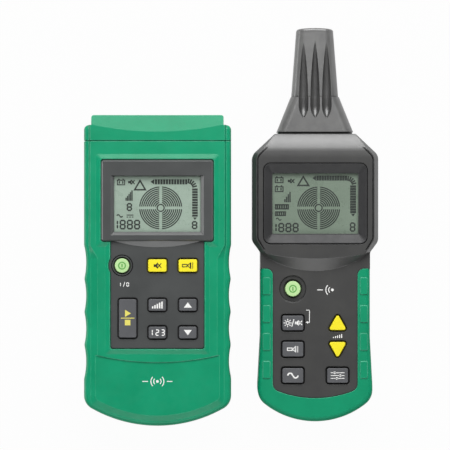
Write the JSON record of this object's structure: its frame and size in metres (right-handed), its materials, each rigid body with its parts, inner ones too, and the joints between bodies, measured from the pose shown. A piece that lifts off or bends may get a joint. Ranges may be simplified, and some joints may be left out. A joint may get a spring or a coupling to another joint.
{
  "type": "cable tracker set",
  "caption": "Hand-held cable tracker: a flat signal transmitter with plug sockets and a receiver with a fluted probe tip, each with a display and sprung keys, lying side by side.",
  "frame": {"origin": "middle of the floor rectangle under the pair, at the height of both backs", "axes": "+X from the transmitter to the receiver, +Y towards the probe tip, +Z out of the fronts"},
  "size_m": [0.1808, 0.244, 0.0425],
  "materials": {
    "green_plastic": "satin moulded",
    "dark_panel": "satin moulded",
    "dark_plastic": "fine grain moulded",
    "nose_plastic": "satin moulded",
    "frame_plastic": "semi-gloss moulded",
    "green_rubber": "soft over-mould",
    "clear_window": "clear polished",
    "torch_lens": "clear polished",
    "display_glass": "reflective grey-green",
    "diffuser": "milky",
    "circuit_board": "solder mask",
    "soft_mat": "soft",
    "spring_metal": "bright",
    "screw_steel": "plated",
    "black_plastic": "moulded",
    "red_insulation": "moulded",
    "black_insulation": "moulded",
    "contact_brass": "plated",
    "transformer_core": "lacquered",
    "cell_jacket": "lacquered",
    "ferrite": "ceramic grey",
    "copper_winding": "enamelled wire",
    "pale_green_key": "soft key",
    "yellow_key": "soft key",
    "grey_key": "soft key"
  },
  "bodies": {
    "transmitter": {"transmitter_backlight": "diffuser", "transmitter_battery": "cell_jacket", "transmitter_battery_clip": "black_plastic", "transmitter_board_screws": "screw_steel", "transmitter_buzzer": "black_plastic", "transmitter_case_screws": "screw_steel", "transmitter_circuit_board": "circuit_board", "transmitter_display": "display_glass", "transmitter_display_window": "clear_window", "transmitter_earth_socket": "black_insulation", "transmitter_front_case": "green_plastic", "transmitter_front_panel": "dark_panel", "transmitter_key_mat": "soft_mat", "transmitter_output_transformer": "transformer_core", "transmitter_rear_case": "green_plastic", "transmitter_signal_socket": "red_insulation", "transmitter_socket_contacts": "contact_brass", "transmitter_switch_domes": "spring_metal", "transmitter_top_cap": "green_plastic", "transmitter_torch_lens": "torch_lens"},
    "receiver": {"receiver_antenna_coil": "copper_winding", "receiver_antenna_rod": "ferrite", "receiver_backlight": "diffuser", "receiver_battery_cells": "cell_jacket", "receiver_battery_contacts": "spring_metal", "receiver_board_screws": "screw_steel", "receiver_buzzer": "black_plastic", "receiver_case_screws": "screw_steel", "receiver_circuit_board": "circuit_board", "receiver_display": "display_glass", "receiver_display_frame": "frame_plastic", "receiver_display_window": "clear_window", "receiver_front_case": "dark_plastic", "receiver_grip_boot": "green_rubber", "receiver_key_mat": "soft_mat", "receiver_nose_cone": "nose_plastic", "receiver_probe_tip": "nose_plastic", "receiver_rear_case": "dark_plastic", "receiver_switch_domes": "spring_metal", "receiver_torch_lens": "torch_lens"},
    "transmitter_power_key": {"transmitter_power_key": "pale_green_key"},
    "transmitter_mute_key": {"transmitter_mute_key": "yellow_key"},
    "transmitter_torch_key": {"transmitter_torch_key": "yellow_key"},
    "transmitter_start_key": {"transmitter_start_key": "grey_key"},
    "transmitter_level_key": {"transmitter_level_key": "grey_key"},
    "transmitter_up_key": {"transmitter_up_key": "grey_key"},
    "transmitter_code_key": {"transmitter_code_key": "grey_key"},
    "transmitter_down_key": {"transmitter_down_key": "grey_key"},
    "receiver_power_key": {"receiver_power_key": "pale_green_key"},
    "receiver_light_key": {"receiver_light_key": "grey_key"},
    "receiver_torch_key": {"receiver_torch_key": "grey_key"},
    "receiver_mains_key": {"receiver_mains_key": "grey_key"},
    "receiver_up_key": {"receiver_up_key": "yellow_key"},
    "receiver_down_key": {"receiver_down_key": "yellow_key"},
    "receiver_manual_key": {"receiver_manual_key": "grey_key"},
    "transmitter_battery_cover": {"transmitter_battery_door": "green_plastic", "transmitter_door_screw": "screw_steel"},
    "receiver_battery_cover": {"receiver_battery_door": "dark_plastic", "receiver_door_screw": "screw_steel"}
  },
  "joints": [
    {"name": "receiver_lift", "type": "slide", "parent": "transmitter", "child": "receiver", "axis": [0, 0, 1], "range_m": [0, 0.12]},
    {"name": "transmitter_power_key_press", "type": "slide", "parent": "transmitter", "child": "transmitter_power_key", "axis": [0, 0, -1], "range_m": [0, 0.001], "stiffness_N_per_m": 300},
    {"name": "transmitter_mute_key_press", "type": "slide", "parent": "transmitter", "child": "transmitter_mute_key", "axis": [0, 0, -1], "range_m": [0, 0.001], "stiffness_N_per_m": 300},
    {"name": "transmitter_torch_key_press", "type": "slide", "parent": "transmitter", "child": "transmitter_torch_key", "axis": [0, 0, -1], "range_m": [0, 0.001], "stiffness_N_per_m": 300},
    {"name": "transmitter_start_key_press", "type": "slide", "parent": "transmitter", "child": "transmitter_start_key", "axis": [0, 0, -1], "range_m": [0, 0.001], "stiffness_N_per_m": 300},
    {"name": "transmitter_level_key_press", "type": "slide", "parent": "transmitter", "child": "transmitter_level_key", "axis": [0, 0, -1], "range_m": [0, 0.001], "stiffness_N_per_m": 300},
    {"name": "transmitter_up_key_press", "type": "slide", "parent": "transmitter", "child": "transmitter_up_key", "axis": [0, 0, -1], "range_m": [0, 0.001], "stiffness_N_per_m": 300},
    {"name": "transmitter_code_key_press", "type": "slide", "parent": "transmitter", "child": "transmitter_code_key", "axis": [0, 0, -1], "range_m": [0, 0.001], "stiffness_N_per_m": 300},
    {"name": "transmitter_down_key_press", "type": "slide", "parent": "transmitter", "child": "transmitter_down_key", "axis": [0, 0, -1], "range_m": [0, 0.001], "stiffness_N_per_m": 300},
    {"name": "receiver_power_key_press", "type": "slide", "parent": "receiver", "child": "receiver_power_key", "axis": [0, 0, -1], "range_m": [0, 0.001], "stiffness_N_per_m": 300},
    {"name": "receiver_light_key_press", "type": "slide", "parent": "receiver", "child": "receiver_light_key", "axis": [0, 0, -1], "range_m": [0, 0.001], "stiffness_N_per_m": 300},
    {"name": "receiver_torch_key_press", "type": "slide", "parent": "receiver", "child": "receiver_torch_key", "axis": [0, 0, -1], "range_m": [0, 0.001], "stiffness_N_per_m": 300},
    {"name": "receiver_mains_key_press", "type": "slide", "parent": "receiver", "child": "receiver_mains_key", "axis": [0, 0, -1], "range_m": [0, 0.001], "stiffness_N_per_m": 300},
    {"name": "receiver_up_key_press", "type": "slide", "parent": "receiver", "child": "receiver_up_key", "axis": [0, 0, -1], "range_m": [0, 0.001], "stiffness_N_per_m": 300},
    {"name": "receiver_down_key_press", "type": "slide", "parent": "receiver", "child": "receiver_down_key", "axis": [0, 0, -1], "range_m": [0, 0.001], "stiffness_N_per_m": 300},
    {"name": "receiver_manual_key_press", "type": "slide", "parent": "receiver", "child": "receiver_manual_key", "axis": [0, 0, -1], "range_m": [0, 0.001], "stiffness_N_per_m": 300},
    {"name": "transmitter_battery_door_off", "type": "slide", "parent": "transmitter", "child": "transmitter_battery_cover", "axis": [0, 0, -1], "range_m": [0, 0.03]},
    {"name": "receiver_battery_door_off", "type": "slide", "parent": "receiver", "child": "receiver_battery_cover", "axis": [0, 0, -1], "range_m": [0, 0.03]}
  ]
}
